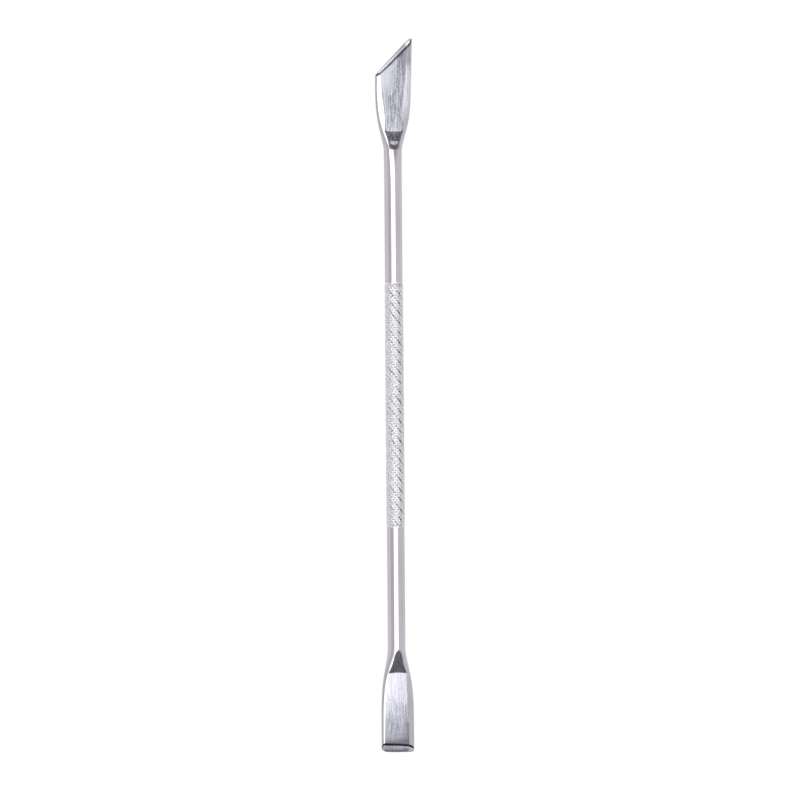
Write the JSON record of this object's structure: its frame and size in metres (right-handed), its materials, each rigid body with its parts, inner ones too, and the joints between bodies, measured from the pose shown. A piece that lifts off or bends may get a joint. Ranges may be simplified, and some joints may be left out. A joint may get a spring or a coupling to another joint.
{
  "type": "spudger tool",
  "caption": "Slim double-ended steel spudger: a knurled round bar with a slanted ground blade at one end and a square bevelled push blade at the other.",
  "frame": {"origin": "centre of the tool's box on the surface that it lies on", "axes": "+Y along the bar towards the slanted blade, +Z out of both ground faces, +X towards the side that the slanted edge rises to"},
  "size_m": [0.0064, 0.12, 0.0031],
  "materials": {
    "ground_steel": "stainless steel, ground with a lengthwise grain on the faces and polished on the sides",
    "polished_steel": "stainless steel, polished",
    "knurled_steel": "stainless steel, rolled with a fine diamond knurl"
  },
  "bodies": {
    "root": {"slant_blade": "ground_steel", "upper_shank": "polished_steel", "knurled_grip": "knurled_steel", "lower_shank": "polished_steel", "push_blade": "ground_steel"}
  },
  "joints": []
}
